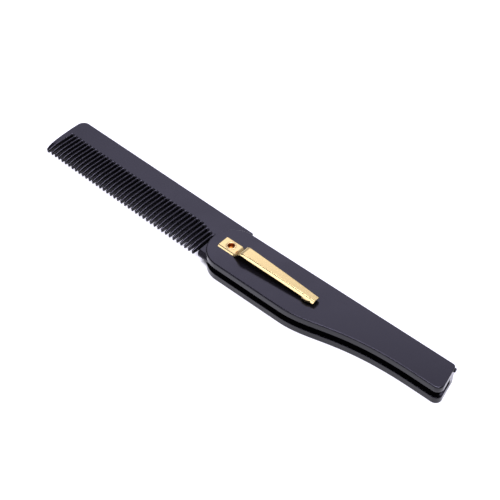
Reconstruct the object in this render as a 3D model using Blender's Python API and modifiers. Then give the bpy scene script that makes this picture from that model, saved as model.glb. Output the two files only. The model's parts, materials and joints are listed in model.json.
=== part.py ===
"""Folding pocket comb: a toothed blade that swings into a slotted handle, with a sprung pocket clip.

Units are metres, +Z up. The comb lies open on the flat underside of its handle. X runs along the
handle towards its free end, the teeth point to -Y, and the backs of blade and handle face +Y.
Every piece is modelled about the rivet, on which the blade turns. An empty carries the whole comb
and sets the middle of its footprint at the world origin.
"""
import math

import bmesh
import bpy
from mathutils import Matrix, Vector

COMB_NAME = "folding_comb"

# Handle: one moulding of two plates joined by a spine along the back
LOWER_PLATE = 0.0024
SLOT_HEIGHT = 0.0028
UPPER_PLATE = 0.0023
HANDLE_HEIGHT = LOWER_PLATE + SLOT_HEIGHT + UPPER_PLATE
HANDLE_BACK = 0.00855
HANDLE_BELLY = -0.0092
HANDLE_NECK = -0.00225
NOSE_X = 0.0012
NOSE_RADIUS = (HANDLE_BACK - HANDLE_BELLY) / 2
BELLY_END = 0.0282
NECK_START = 0.0745
BELLY_PULL = 0.0124
NECK_PULL = 0.0274
FREE_END_BACK = 0.0826
FREE_END_FRONT = 0.0849
FRONT_CORNER = 0.0015
BACK_CORNER = 0.0012
HANDLE_EDGE = 0.00045

# Small stub that the mould's gate leaves at the far back corner
GATE_END = 0.08335
GATE_REACH = 0.0015
GATE_FRONT = 0.0074
GATE_BACK = 0.0083
GATE_LOW = 0.0043
GATE_HIGH = 0.0054

# Slot floor, which is the inner face of the spine
SPINE_START = 0.0001
FLOOR_NEAR = 0.00775
FLOOR_FAR = 0.0051
FLOOR_BEND = 0.011

# Blade
BLADE_THICKNESS = 0.0025
BLADE_BOTTOM = LOWER_PLATE + (SLOT_HEIGHT - BLADE_THICKNESS) / 2
BLADE_MIDDLE = BLADE_BOTTOM + BLADE_THICKNESS / 2
BLADE_BACK = 0.0109
BLADE_TIPS = -0.0078
BLADE_END = -0.08564
GUARD_TIP = -0.0845
HEEL_BOTTOM = -0.00745
END_CORNER = 0.0026
TANG_END = -0.0004
TANG_CORNER = 0.0012
TANG_RADIUS = 0.00745
BACK_EDGE = 0.00035
OPEN_PAST_STRAIGHT = math.radians(1.29)

# Gaps between the teeth, counted from the guard tooth to the heel
GAP_COUNT = 41
GAP_PITCH = 0.001834
FIRST_GAP = -0.08269
GAP_ROOT = 0.0034
ROOT_HALF_WIDTH = 0.00042
TIP_HALF_WIDTH = 0.00060
SHORT_GAPS = 4
SHORT_GAP_STEP = 0.0005
HEEL_LEAN = 0.0005
TOOTH_POINT = 0.0005
POINT_HALF_WIDTH = 0.00078

# Thickness of the blade from the roots of the teeth to their tips
# share of the way to the tips, share of the full thickness
TOOTH_TAPER = (
    (0.00, 1.00),
    (0.30, 0.96),
    (0.55, 0.86),
    (0.75, 0.71),
    (0.90, 0.50),
    (1.00, 0.20),
)
HEEL_CHAMFER = 0.0009

# Rivet, a hollow one whose mouth is flared into the clip
SHANK_RADIUS = 0.0013
RIVET_CLEARANCE = 0.00015
BORE_RADIUS = 0.00105
BORE_DEPTH = 0.0013
HEAD_RADIUS = 0.0023
HEAD_TOP = 0.00105
HEAD_BOTTOM = 0.00025
FLARE_RADIUS = 0.0018

# Clip, one strip of sheet metal with its long edges turned down
SHEET = 0.0005
PAD_START = -0.00365
PAD_END = 0.0034
PAD_HEIGHT = 0.00075
PAD_HALF_WIDTH = 0.0023
PAD_EDGE_RUN = 0.00025
PAD_EDGE_DROP = 0.0003
SHOULDER = 0.0068
SHOULDER_HEIGHT = 0.0033
SHOULDER_HALF_WIDTH = 0.00178
ARM_TIP = 0.0363
TIP_HEIGHT = 0.0018
TIP_HALF = 0.00092
ARM_BOW = 0.0003
ARM_OFFSET = -0.0003
ARM_EDGE_RUN = 0.0006
TIP_EDGE_RUN = 0.0009
ARM_EDGE_DROP = 0.0007
FOOT_X = 0.0335
FOOT_HALF_LENGTH = 0.0026
FOOT_HALF_WIDTH = 0.0016
FOOT_GAP = 0.0003

# Tools that stay with the pieces they shape
BLADE_TOOLS = ("blade_heel", "blade_outline", "tooth_gaps", "blade_hole")
HANDLE_TOOLS = (
    "handle_gate",
    "handle_slot",
    "handle_hole",
    "handle_recess",
    "clip_foot",
    "clip_hole",
)

# Fineness of the round shapes
ROUND_STEPS = 32
NOSE_STEPS = 36
CURVE_STEPS = 22
CORNER_STEPS = 6
CUT_MARGIN = 0.004
WELD = 0.000001


def clear_scene():
    for obj in list(bpy.data.objects):
        bpy.data.objects.remove(obj, do_unlink=True)


def new_collection(name):
    collection = bpy.data.collections.new(name)
    bpy.context.scene.collection.children.link(collection)
    return collection


def new_material(name, colour, roughness, metallic):
    material = bpy.data.materials.new(name)
    material.use_nodes = True
    shader = material.node_tree.nodes["Principled BSDF"]
    shader.inputs["Base Color"].default_value = (*colour, 1.0)
    shader.inputs["Roughness"].default_value = roughness
    shader.inputs["Metallic"].default_value = metallic
    return material


def arc(centre_x, centre_y, radius, start, end, steps):
    """Points along an arc; angles in degrees from +X, turning towards +Y."""
    points = []
    for step in range(steps + 1):
        angle = math.radians(start + (end - start) * step / steps)
        points.append((centre_x + radius * math.cos(angle), centre_y + radius * math.sin(angle)))
    return points


def cubic(start, start_pull, end_pull, end, steps):
    """Points along a cubic curve between two ends, each with its pull point."""
    points = []
    for step in range(steps + 1):
        t = step / steps
        weights = ((1 - t) ** 3, 3 * (1 - t) ** 2 * t, 3 * (1 - t) * t ** 2, t ** 3)
        corners = (start, start_pull, end_pull, end)
        x = sum(weight * corner[0] for weight, corner in zip(weights, corners))
        y = sum(weight * corner[1] for weight, corner in zip(weights, corners))
        points.append((x, y))
    return points


def round_corner(before, corner, after, radius, steps):
    """Points of a round between two straight edges that meet at a corner."""
    corner = Vector(corner)
    towards_before = (Vector(before) - corner).normalized()
    towards_after = (Vector(after) - corner).normalized()
    half_angle = towards_before.angle(towards_after) / 2
    setback = radius / math.tan(half_angle)
    bisector = (towards_before + towards_after).normalized()
    centre = corner + bisector * radius / math.sin(half_angle)
    first = corner + towards_before * setback - centre
    last = corner + towards_after * setback - centre
    start = math.atan2(first.y, first.x)
    sweep = math.atan2(last.y, last.x) - start
    sweep = (sweep + math.pi) % (2 * math.pi) - math.pi
    return arc(centre.x, centre.y, radius, math.degrees(start), math.degrees(start + sweep), steps)


def extrude_outline(name, points, low, high, collection):
    """A flat outline given thickness: a filled curve made a closed mesh."""
    curve = bpy.data.curves.new(name, "CURVE")
    curve.dimensions = "2D"
    curve.fill_mode = "BOTH"
    curve.extrude = (high - low) / 2
    spline = curve.splines.new("POLY")
    spline.points.add(len(points) - 1)
    for point, (x, y) in zip(spline.points, points):
        point.co = (x, y, 0.0, 1.0)
    spline.use_cyclic_u = True
    outline = bpy.data.objects.new(name + "_outline", curve)
    outline.location.z = (high + low) / 2
    bpy.context.scene.collection.objects.link(outline)
    bpy.context.view_layer.update()
    evaluated = outline.evaluated_get(bpy.context.evaluated_depsgraph_get())
    mesh = bpy.data.meshes.new_from_object(evaluated)
    mesh.name = name
    weld_closed(mesh)
    obj = bpy.data.objects.new(name, mesh)
    obj.matrix_world = outline.matrix_world
    bpy.data.objects.remove(outline, do_unlink=True)
    bpy.data.curves.remove(curve)
    collection.objects.link(obj)
    return obj


def weld_closed(mesh):
    """Joins loose caps to their walls, clears flat edges and turns every face outwards."""
    shape = bmesh.new()
    shape.from_mesh(mesh)
    bmesh.ops.remove_doubles(shape, verts=shape.verts, dist=WELD)
    bmesh.ops.dissolve_limit(
        shape,
        angle_limit=math.radians(0.1),
        verts=shape.verts,
        edges=shape.edges,
    )
    bmesh.ops.recalc_face_normals(shape, faces=shape.faces)
    shape.to_mesh(mesh)
    shape.free()


def cylinder(name, radius_low, radius_high, low, high, collection):
    """A round bar or cone on the rivet's axis."""
    mesh = bpy.data.meshes.new(name)
    shape = bmesh.new()
    bmesh.ops.create_cone(
        shape,
        cap_ends=True,
        segments=ROUND_STEPS,
        radius1=radius_low,
        radius2=radius_high,
        depth=high - low,
        matrix=Matrix.Translation((0.0, 0.0, (high + low) / 2)),
    )
    shape.to_mesh(mesh)
    shape.free()
    obj = bpy.data.objects.new(name, mesh)
    collection.objects.link(obj)
    return obj


def combine(obj, tool, operation):
    modifier = obj.modifiers.new(tool.name, "BOOLEAN")
    modifier.operation = operation
    modifier.solver = "EXACT"
    modifier.object = tool
    tool.hide_render = True
    tool.display_type = "WIRE"


def add_bevel(obj, width, segments, angle):
    modifier = obj.modifiers.new("edge", "BEVEL")
    modifier.width = width
    modifier.segments = segments
    modifier.limit_method = "ANGLE"
    modifier.angle_limit = math.radians(angle)
    modifier.use_clamp_overlap = True


def shade(obj, angle):
    obj.data.shade_smooth()
    obj.data.set_sharp_from_angle(angle=math.radians(angle))


def handle_outline():
    """The handle seen from above: round nose, straight back, and a belly that narrows to a neck."""
    middle = (HANDLE_BACK + HANDLE_BELLY) / 2
    end_back = (FREE_END_BACK, HANDLE_BACK)
    end_front = (FREE_END_FRONT, HANDLE_NECK)
    belly_end = (BELLY_END, HANDLE_BELLY)
    neck_start = (NECK_START, HANDLE_NECK)
    points = arc(NOSE_X, middle, NOSE_RADIUS, 90, 270, NOSE_STEPS)
    points += cubic(
        belly_end,
        (BELLY_END + BELLY_PULL, HANDLE_BELLY),
        (NECK_START - NECK_PULL, HANDLE_NECK),
        neck_start,
        CURVE_STEPS,
    )
    points += round_corner(neck_start, end_front, end_back, FRONT_CORNER, CORNER_STEPS)
    nose_top = (NOSE_X, HANDLE_BACK)
    points += round_corner(end_front, end_back, nose_top, BACK_CORNER, CORNER_STEPS)
    return points


def slot_outline():
    """Everything between the plates that is open, out past the handle's edges."""
    left = -0.02
    right = FREE_END_FRONT + CUT_MARGIN
    front = HANDLE_BELLY - CUT_MARGIN
    back = HANDLE_BACK + CUT_MARGIN
    return [
        (left, front),
        (right, front),
        (right, FLOOR_FAR),
        (FLOOR_BEND, FLOOR_NEAR),
        (SPINE_START, FLOOR_NEAR),
        (SPINE_START, back),
        (left, back),
    ]


def gate_outline():
    root = GATE_END - GATE_REACH
    return [(root, GATE_FRONT), (GATE_END, GATE_FRONT), (GATE_END, GATE_BACK), (root, GATE_BACK)]


def make_handle(parts, cutters):
    handle = extrude_outline("handle", handle_outline(), 0.0, HANDLE_HEIGHT, parts)
    add_bevel(handle, HANDLE_EDGE, 3, 60)
    gate = extrude_outline("handle_gate", gate_outline(), GATE_LOW, GATE_HIGH, cutters)
    combine(handle, gate, "UNION")
    slot_top = LOWER_PLATE + SLOT_HEIGHT
    slot = extrude_outline("handle_slot", slot_outline(), LOWER_PLATE, slot_top, cutters)
    hole_radius = SHANK_RADIUS + RIVET_CLEARANCE
    top = HANDLE_HEIGHT + CUT_MARGIN
    hole = cylinder("handle_hole", hole_radius, hole_radius, -CUT_MARGIN, top, cutters)
    recess_radius = HEAD_RADIUS + RIVET_CLEARANCE
    recess_top = HEAD_TOP + RIVET_CLEARANCE
    recess = cylinder("handle_recess", recess_radius, recess_radius, -CUT_MARGIN, recess_top, cutters)
    combine(handle, slot, "DIFFERENCE")
    combine(handle, hole, "DIFFERENCE")
    combine(handle, recess, "DIFFERENCE")
    return handle


def blade_outline():
    """The blade seen from above, with its teeth still joined."""
    points = arc(BLADE_END + END_CORNER, BLADE_BACK - END_CORNER, END_CORNER, 180, 90, CORNER_STEPS)
    corner_x = TANG_END - TANG_CORNER
    points += arc(corner_x, BLADE_BACK - TANG_CORNER, TANG_CORNER, 90, 0, CORNER_STEPS)
    shoulder = math.degrees(math.acos(TANG_END / TANG_RADIUS))
    points += arc(0.0, 0.0, TANG_RADIUS, shoulder, -90, ROUND_STEPS)
    heel_gap = FIRST_GAP + GAP_PITCH * (GAP_COUNT - 1)
    points += [
        (heel_gap, HEEL_BOTTOM),
        (heel_gap, BLADE_TIPS),
        (GUARD_TIP + TOOTH_POINT / 2, BLADE_TIPS),
        (GUARD_TIP, BLADE_TIPS + TOOTH_POINT),
        (BLADE_END + (GUARD_TIP - BLADE_END) / 3, 0.0),
    ]
    return points


def blade_section():
    """The blade seen from its end: full thickness at the back, thinning towards the tips."""
    half = BLADE_THICKNESS / 2
    length = GAP_ROOT - BLADE_TIPS
    upper = [(BLADE_BACK, half - BACK_EDGE), (BLADE_BACK - BACK_EDGE, half)]
    upper += [(GAP_ROOT - length * way, half * share) for way, share in TOOTH_TAPER]
    lower = [(y, -z) for y, z in reversed(upper)]
    return upper + lower


def heel_section():
    """The heel and the tang seen from the end: full thickness down to a chamfered lower edge."""
    half = BLADE_THICKNESS / 2
    edge = half - HEEL_CHAMFER
    upper = [
        (BLADE_BACK, half - BACK_EDGE),
        (BLADE_BACK - BACK_EDGE, half),
        (HEEL_BOTTOM + HEEL_CHAMFER, half),
        (HEEL_BOTTOM, edge),
    ]
    lower = [(y, -z) for y, z in reversed(upper)]
    return upper + lower


def swept_section(name, section, start, end, collection):
    """A section in Y and Z carried along X."""
    mesh = bpy.data.meshes.new(name)
    shape = bmesh.new()
    rim = [shape.verts.new((start, y, z + BLADE_MIDDLE)) for y, z in section]
    face = shape.faces.new(rim)
    swept = bmesh.ops.extrude_face_region(shape, geom=[face])
    moved = [item for item in swept["geom"] if isinstance(item, bmesh.types.BMVert)]
    bmesh.ops.translate(shape, verts=moved, vec=(end - start, 0.0, 0.0))
    bmesh.ops.recalc_face_normals(shape, faces=shape.faces)
    shape.to_mesh(mesh)
    shape.free()
    obj = bpy.data.objects.new(name, mesh)
    collection.objects.link(obj)
    return obj


def gap_outline(index):
    """One gap seen from above: a round root, sides that open towards the tips, pointed teeth."""
    centre = FIRST_GAP + GAP_PITCH * index
    short = max(0, index - (GAP_COUNT - 1 - SHORT_GAPS))
    root = GAP_ROOT - SHORT_GAP_STEP * short
    lean = HEEL_LEAN if index == GAP_COUNT - 1 else 0.0
    points = arc(centre, root - ROOT_HALF_WIDTH, ROOT_HALF_WIDTH, 180, 0, CORNER_STEPS)
    points += [
        (centre + TIP_HALF_WIDTH + lean, BLADE_TIPS + TOOTH_POINT),
        (centre + POINT_HALF_WIDTH + lean, BLADE_TIPS),
        (centre + POINT_HALF_WIDTH + lean, BLADE_TIPS - CUT_MARGIN),
        (centre - POINT_HALF_WIDTH, BLADE_TIPS - CUT_MARGIN),
        (centre - POINT_HALF_WIDTH, BLADE_TIPS),
        (centre - TIP_HALF_WIDTH, BLADE_TIPS + TOOTH_POINT),
    ]
    return points


def make_gap_cutter(cutters):
    """All the gaps as one cutter."""
    low = BLADE_BOTTOM - CUT_MARGIN
    high = BLADE_BOTTOM + BLADE_THICKNESS + CUT_MARGIN
    gaps = [
        extrude_outline(f"gap_{index}", gap_outline(index), low, high, cutters)
        for index in range(GAP_COUNT)
    ]
    shape = bmesh.new()
    for gap in gaps:
        piece = gap.data.copy()
        piece.transform(gap.matrix_world)
        shape.from_mesh(piece)
        bpy.data.meshes.remove(piece)
        bpy.data.objects.remove(gap, do_unlink=True)
    mesh = bpy.data.meshes.new("tooth_gaps")
    shape.to_mesh(mesh)
    shape.free()
    obj = bpy.data.objects.new("tooth_gaps", mesh)
    cutters.objects.link(obj)
    return obj


def make_blade(parts, cutters):
    low = BLADE_BOTTOM - CUT_MARGIN
    high = BLADE_BOTTOM + BLADE_THICKNESS + CUT_MARGIN
    heel_start = FIRST_GAP + GAP_PITCH * (GAP_COUNT - 1)
    blade = swept_section("comb_blade", blade_section(), BLADE_END - CUT_MARGIN, heel_start, parts)
    heel = swept_section("blade_heel", heel_section(), heel_start - ROOT_HALF_WIDTH, 0.02, cutters)
    outline = extrude_outline("blade_outline", blade_outline(), low, high, cutters)
    gaps = make_gap_cutter(cutters)
    hole_radius = SHANK_RADIUS + RIVET_CLEARANCE
    hole = cylinder("blade_hole", hole_radius, hole_radius, low, high, cutters)
    combine(blade, heel, "UNION")
    combine(blade, outline, "INTERSECT")
    combine(blade, gaps, "DIFFERENCE")
    combine(blade, hole, "DIFFERENCE")
    return blade


def make_rivet(parts):
    """A hollow rivet: head in the lower plate, plain shank, and a mouth flared into the clip."""
    mouth = HANDLE_HEIGHT + PAD_HEIGHT
    lip = 0.00008
    flare_base = mouth - SHEET - RIVET_CLEARANCE
    edge = 0.0002
    profile = (
        (0.0, mouth - BORE_DEPTH),
        (BORE_RADIUS - edge, mouth - BORE_DEPTH),
        (BORE_RADIUS, mouth - BORE_DEPTH + edge),
        (BORE_RADIUS, mouth - edge),
        (BORE_RADIUS + edge, mouth + lip),
        (FLARE_RADIUS - edge, mouth + lip),
        (FLARE_RADIUS, mouth - lip),
        (SHANK_RADIUS, flare_base),
        (SHANK_RADIUS, HEAD_TOP),
        (HEAD_RADIUS - edge, HEAD_TOP),
        (HEAD_RADIUS, HEAD_TOP - edge),
        (HEAD_RADIUS, HEAD_BOTTOM + edge),
        (HEAD_RADIUS - edge, HEAD_BOTTOM),
        (0.0, HEAD_BOTTOM),
    )
    mesh = bpy.data.meshes.new("pivot_rivet")
    edges = [(index, index + 1) for index in range(len(profile) - 1)]
    mesh.from_pydata([(radius, 0.0, z) for radius, z in profile], edges, [])
    rivet = bpy.data.objects.new("pivot_rivet", mesh)
    parts.objects.link(rivet)
    screw = rivet.modifiers.new("turned", "SCREW")
    screw.steps = ROUND_STEPS
    screw.render_steps = ROUND_STEPS
    screw.use_merge_vertices = True
    screw.merge_threshold = WELD
    screw.use_smooth_shade = True
    screw.use_normal_calculate = False
    return rivet


def ease(value):
    """Runs smoothly from 0 to 1 as value does."""
    value = min(1.0, max(0.0, value))
    return value * value * (3 - 2 * value)


def blend(start, end, share):
    return start + (end - start) * share


def clip_row(x):
    """The strip's cross-section at x: its centre, half width, height, and turned-down edge."""
    rise = ease((x - PAD_END) / (SHOULDER - PAD_END))
    along = min(1.0, max(0.0, (x - SHOULDER) / (ARM_TIP - SHOULDER)))
    arm_height = blend(SHOULDER_HEIGHT, TIP_HEIGHT, along) + 4 * ARM_BOW * along * (1 - along)
    height = HANDLE_HEIGHT + blend(PAD_HEIGHT, arm_height, rise)
    half = blend(PAD_HALF_WIDTH, blend(SHOULDER_HALF_WIDTH, TIP_HALF, along), rise)
    run = blend(PAD_EDGE_RUN, blend(ARM_EDGE_RUN, TIP_EDGE_RUN, along), rise)
    drop = blend(PAD_EDGE_DROP, ARM_EDGE_DROP, rise)
    centre = ARM_OFFSET * rise
    return (
        (x, centre - half - run, height - drop),
        (x, centre - half, height),
        (x, centre + half, height),
        (x, centre + half + run, height - drop),
    )


def clip_stations():
    """Places along the strip, close together where it bends."""
    pad = [PAD_START, -0.0015, 0.0015]
    bend = [blend(PAD_END, SHOULDER, step / 10) for step in range(11)]
    arm = [blend(SHOULDER, ARM_TIP, step / 10) for step in range(1, 11)]
    return pad + bend + arm


def make_clip(parts, cutters):
    mesh = bpy.data.meshes.new("pocket_clip")
    shape = bmesh.new()
    rows = [[shape.verts.new(point) for point in clip_row(x)] for x in clip_stations()]
    for row, after in zip(rows, rows[1:]):
        for column in range(len(row) - 1):
            shape.faces.new((row[column], after[column], after[column + 1], row[column + 1]))
    shape.to_mesh(mesh)
    shape.free()
    clip = bpy.data.objects.new("pocket_clip", mesh)
    parts.objects.link(clip)
    solidify = clip.modifiers.new("sheet", "SOLIDIFY")
    solidify.thickness = SHEET
    solidify.offset = -1.0
    solidify.use_even_offset = True
    foot = make_foot(cutters)
    combine(clip, foot, "UNION")
    mouth = HANDLE_HEIGHT + PAD_HEIGHT
    wide = FLARE_RADIUS + RIVET_CLEARANCE
    narrow = SHANK_RADIUS + RIVET_CLEARANCE
    slope = (wide - narrow) / SHEET
    hole = cylinder(
        "clip_hole",
        narrow - slope * RIVET_CLEARANCE,
        wide + slope * RIVET_CLEARANCE,
        mouth - SHEET - RIVET_CLEARANCE,
        mouth + RIVET_CLEARANCE,
        cutters,
    )
    combine(clip, hole, "DIFFERENCE")
    return clip


def make_foot(cutters):
    """The round foot under the clip's tip, which grips the cloth of a pocket."""
    top = clip_row(FOOT_X)[1][2] - SHEET / 2
    bottom = HANDLE_HEIGHT + FOOT_GAP
    mesh = bpy.data.meshes.new("clip_foot")
    shape = bmesh.new()
    bmesh.ops.create_uvsphere(shape, u_segments=20, v_segments=10, radius=1.0)
    bmesh.ops.scale(
        shape,
        verts=shape.verts,
        vec=(FOOT_HALF_LENGTH, FOOT_HALF_WIDTH, top - bottom),
    )
    bmesh.ops.bisect_plane(
        shape,
        geom=shape.verts[:] + shape.edges[:] + shape.faces[:],
        plane_co=(0.0, 0.0, 0.0),
        plane_no=(0.0, 0.0, 1.0),
        clear_outer=True,
    )
    rim = [edge for edge in shape.edges if edge.is_boundary]
    bmesh.ops.contextual_create(shape, geom=rim)
    bmesh.ops.recalc_face_normals(shape, faces=shape.faces)
    bmesh.ops.translate(shape, verts=shape.verts, vec=(FOOT_X, ARM_OFFSET, top))
    shape.to_mesh(mesh)
    shape.free()
    foot = bpy.data.objects.new("clip_foot", mesh)
    cutters.objects.link(foot)
    return foot


def footprint_centre(objects):
    """The middle of the box that holds the finished objects, in X and Y."""
    depsgraph = bpy.context.evaluated_depsgraph_get()
    corners = []
    for obj in objects:
        evaluated = obj.evaluated_get(depsgraph)
        mesh = evaluated.to_mesh()
        corners += [evaluated.matrix_world @ vertex.co for vertex in mesh.vertices]
        evaluated.to_mesh_clear()
    low = [min(corner[axis] for corner in corners) for axis in range(2)]
    high = [max(corner[axis] for corner in corners) for axis in range(2)]
    return ((low[0] + high[0]) / 2, (low[1] + high[1]) / 2)


def main():
    clear_scene()
    parts = new_collection(COMB_NAME)
    cutters = new_collection("cutters")

    handle = make_handle(parts, cutters)
    blade = make_blade(parts, cutters)
    rivet = make_rivet(parts)
    clip = make_clip(parts, cutters)

    black_plastic = new_material("black_handle_plastic", (0.012, 0.012, 0.016), 0.22, 0.0)
    blade_plastic = new_material("black_blade_plastic", (0.011, 0.011, 0.015), 0.25, 0.0)
    gilt_steel = new_material("gilt_spring_steel", (0.90, 0.72, 0.40), 0.28, 1.0)
    rivet_brass = new_material("rivet_brass", (0.62, 0.30, 0.10), 0.32, 1.0)
    handle.data.materials.append(black_plastic)
    blade.data.materials.append(blade_plastic)
    clip.data.materials.append(gilt_steel)
    rivet.data.materials.append(rivet_brass)
    shade(handle, 30)
    shade(blade, 25)
    shade(clip, 30)

    carrier = bpy.data.objects.new("comb_carrier", None)
    fold_axis = bpy.data.objects.new("fold_axis", None)
    parts.objects.link(carrier)
    parts.objects.link(fold_axis)
    fold_axis.parent = carrier
    fold_axis.rotation_euler.z = -OPEN_PAST_STRAIGHT
    blade.parent = fold_axis
    for cutter_name in BLADE_TOOLS:
        bpy.data.objects[cutter_name].parent = fold_axis
    for cutter_name in HANDLE_TOOLS:
        bpy.data.objects[cutter_name].parent = carrier
    for piece in (handle, clip, rivet):
        piece.parent = carrier
    bpy.context.view_layer.update()
    centre_x, centre_y = footprint_centre((handle, blade, rivet, clip))
    carrier.location = (-centre_x, -centre_y, 0.0)
    bpy.context.view_layer.update()


main()
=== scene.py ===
"""Folding pocket comb: the finished surfaces of its handle, blade, clip and rivet, and the studio.

The drawing functions work in millimetres from the rivet's axis, as the comb lies open: X towards
the handle's free end, Y towards the backs, Z up from the table. make_piece() turns them to metres
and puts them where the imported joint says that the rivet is.
"""
import json
import math

import bmesh
import bpy
import numpy as np
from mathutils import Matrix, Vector


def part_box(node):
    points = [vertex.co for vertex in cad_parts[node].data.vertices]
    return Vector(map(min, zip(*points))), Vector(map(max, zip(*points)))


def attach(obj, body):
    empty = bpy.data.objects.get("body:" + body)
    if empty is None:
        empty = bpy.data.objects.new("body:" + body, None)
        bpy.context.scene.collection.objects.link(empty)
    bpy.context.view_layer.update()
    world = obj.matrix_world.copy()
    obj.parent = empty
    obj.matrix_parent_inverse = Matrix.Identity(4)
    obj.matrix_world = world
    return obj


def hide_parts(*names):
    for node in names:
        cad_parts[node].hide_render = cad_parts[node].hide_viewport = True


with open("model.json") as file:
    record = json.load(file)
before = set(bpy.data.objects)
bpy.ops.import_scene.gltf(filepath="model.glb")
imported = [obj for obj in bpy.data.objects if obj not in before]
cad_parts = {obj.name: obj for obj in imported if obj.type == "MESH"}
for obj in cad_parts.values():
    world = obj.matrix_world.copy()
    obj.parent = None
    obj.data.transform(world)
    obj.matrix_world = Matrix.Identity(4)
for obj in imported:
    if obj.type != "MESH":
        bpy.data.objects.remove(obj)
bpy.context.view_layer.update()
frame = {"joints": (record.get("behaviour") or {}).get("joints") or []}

MM = 0.001
# Points of a mesh closer than this, in metres, are one
WELD_DISTANCE = 0.000002

# The camera of the photograph, from the rivet
CAMERA_PLACE = (174.83, -186.37, 274.48)
CAMERA_AZIMUTH = 41.793
CAMERA_ELEVATION = 46.4225
CAMERA_LENS = 81.48
SENSOR_WIDTH = 36.0

# Joint and overall sizes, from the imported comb
RIVET_X, RIVET_Y = (value / MM for value in frame["joints"][0]["pos_m"][:2])
HANDLE_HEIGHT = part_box("handle")[1].z / MM
BLADE_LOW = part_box("comb_blade")[0].z / MM
BLADE_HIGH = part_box("comb_blade")[1].z / MM
# In the photograph the backs stand this much further out than the solids'
BACK_OUT = 0.25
HANDLE_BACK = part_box("handle")[1].y / MM - RIVET_Y + BACK_OUT
HANDLE_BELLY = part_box("handle")[0].y / MM - RIVET_Y
# The open blade stands this much past straight
OPEN_PAST_STRAIGHT = math.radians(1.29)

# Handle
SLOT_LOW = 2.4
SLOT_HIGH = 5.2
NOSE_RADIUS = (HANDLE_BACK - HANDLE_BELLY) / 2
NOSE_X = 1.2
NECK_Y = -2.25
BELLY_END = 28.2
NECK_START = 74.5
BELLY_PULL = 12.4
NECK_PULL = 27.4
END_BACK_X = 82.6
END_FRONT_X = 84.9
FRONT_CORNER = 2.2
BACK_CORNER = 1.2
TOP_EDGE = 0.45
LOW_EDGE = 0.12
EDGE_STEPS = 8
LIP = 0.16
LIP_FADE = 2.0
NOSE_STEPS = 72
SPINE_START = 0.1
SPINE_START_POINTS = 14
FLOOR_NEAR = 7.75
FLOOR_FAR = 5.1
FLOOR_BEND = 11.0
# Stub of the mould's gate on the free end: its low and high corners
GATE_BOX = ((81.85, 7.5, 5.3), (83.3, 8.5, 6.5))
GATE_EDGE = 0.12

# Blade, in its own frame before it is turned past straight
BLADE_BACK = 11.2
BLADE_TIPS = -8.0
BLADE_END = -85.97
GUARD_TIP = -84.45
GAP_COUNT = 41
GAP_PITCH = 1.834
FIRST_GAP = -82.69
LAST_GAP = FIRST_GAP + GAP_PITCH * (GAP_COUNT - 1)
# The teeth's rounding is used between these two places
ROUNDED_FROM = FIRST_GAP - 0.7
ROUNDED_TO = LAST_GAP + 0.3
GAP_ROOT = 3.35
ROOT_HALF_WIDTH = 0.42
TIP_HALF_WIDTH = 0.60
# Radii in the outline: at a gap's root, at a tooth's tip and at the guard's inner corner
ROOT_RADIUS = ROOT_HALF_WIDTH * 0.98
TIP_RADIUS = GAP_PITCH / 2 - TIP_HALF_WIDTH - 0.01
GUARD_INNER_RADIUS = 0.4
SHORT_GAPS = 4
SHORT_GAP_STEP = 0.5
HEEL_X = -8.5
HEEL_BOTTOM = -7.5
HEEL_CORNER = 0.7
TANG_END = -0.2
TANG_CORNER = 0.9
TANG_RADIUS = 7.45
# The guard's outline from the back to its tip: x, y and radius of each corner
GUARD_CORNERS = (
    (BLADE_END, BLADE_BACK, 2.9),
    (BLADE_END + 0.04, 5.0, 4.0),
    (BLADE_END + 0.29, 0.5, 4.0),
    (BLADE_END + 0.62, -3.2, 4.0),
    (BLADE_END + 1.0, -6.2, 2.0),
    (GUARD_TIP, BLADE_TIPS, 0.55),
)
BLADE_EDGE = 0.25
# A tooth's faces are rounded over these shares of its half width and of its tip's radius
TOOTH_ROUNDING = 0.97
TIP_ROUNDING = 0.9
# How far that rounding drops, on a tooth and at its tip, and where along it the drop changes
TOOTH_CROWN = 0.75
TIP_CROWN = 0.25
CROWN_CHANGE = 0.45
CROWN_CHANGE_LENGTH = 0.35
# The teeth thin by this share of the taper on their lower face
LOWER_TAPER = 0.52
HEEL_BLEND = 1.2
SLICE_TOLERANCE = 0.0001
# Share of the way from the gaps' roots to the tips, and share of the full thickness there
TOOTH_TAPER = (
    (0.00, 1.00),
    (0.30, 0.985),
    (0.45, 0.96),
    (0.58, 0.92),
    (0.66, 0.88),
    (0.72, 0.83),
    (0.78, 0.76),
    (0.84, 0.67),
    (0.90, 0.57),
    (0.95, 0.48),
    (1.00, 0.40),
)
# Share of the way from the rivet's line to the heel's bottom, and share of the thickness there
HEEL_SLOPE = (
    (0.0, 1.00),
    (0.81, 1.00),
    (0.84, 0.965),
    (1.00, 0.05),
)

# Rivet
SHANK_RADIUS = 1.3
HOLE_RADIUS = 1.45
BORE_RADIUS = 1.15
BORE_DEPTH = 1.5
RIM_RADIUS = 1.8
HEAD_RADIUS = 2.3
HEAD_LOW = 0.25
HEAD_HIGH = 1.05
RECESS_RADIUS = 2.45
RECESS_DEPTH = 1.2
RECESS_CHAMFER = 0.12
RIM_HEIGHT = 0.16

# Clip: heights are those of its upper face above the handle
SHEET = 0.42
CREASE_RADIUS = 0.34
SHEET_EDGE = 0.09
PLAN_CORNER = 0.5
PAD_START = -3.65
PAD_END = 3.0
PAD_HEIGHT = 0.52
# The ramp's slope is full between these shares of its length
RAMP_STEEP = 0.25
RAMP_EASES = 0.5
SHOULDER = 7.5
SHOULDER_HEIGHT = 3.28
ARM_START = 9.5
TIP_X = 36.3
TIP_HEIGHT = 1.82
ARM_BOW = 0.1
FOOT_X = 33.2
FOOT_Y = -0.75
FOOT_HALF_LENGTH = 2.6
FOOT_HALF_WIDTH = 1.9
FOOT_TOP = 1.1
FOOT_GAP = 0.1
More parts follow.
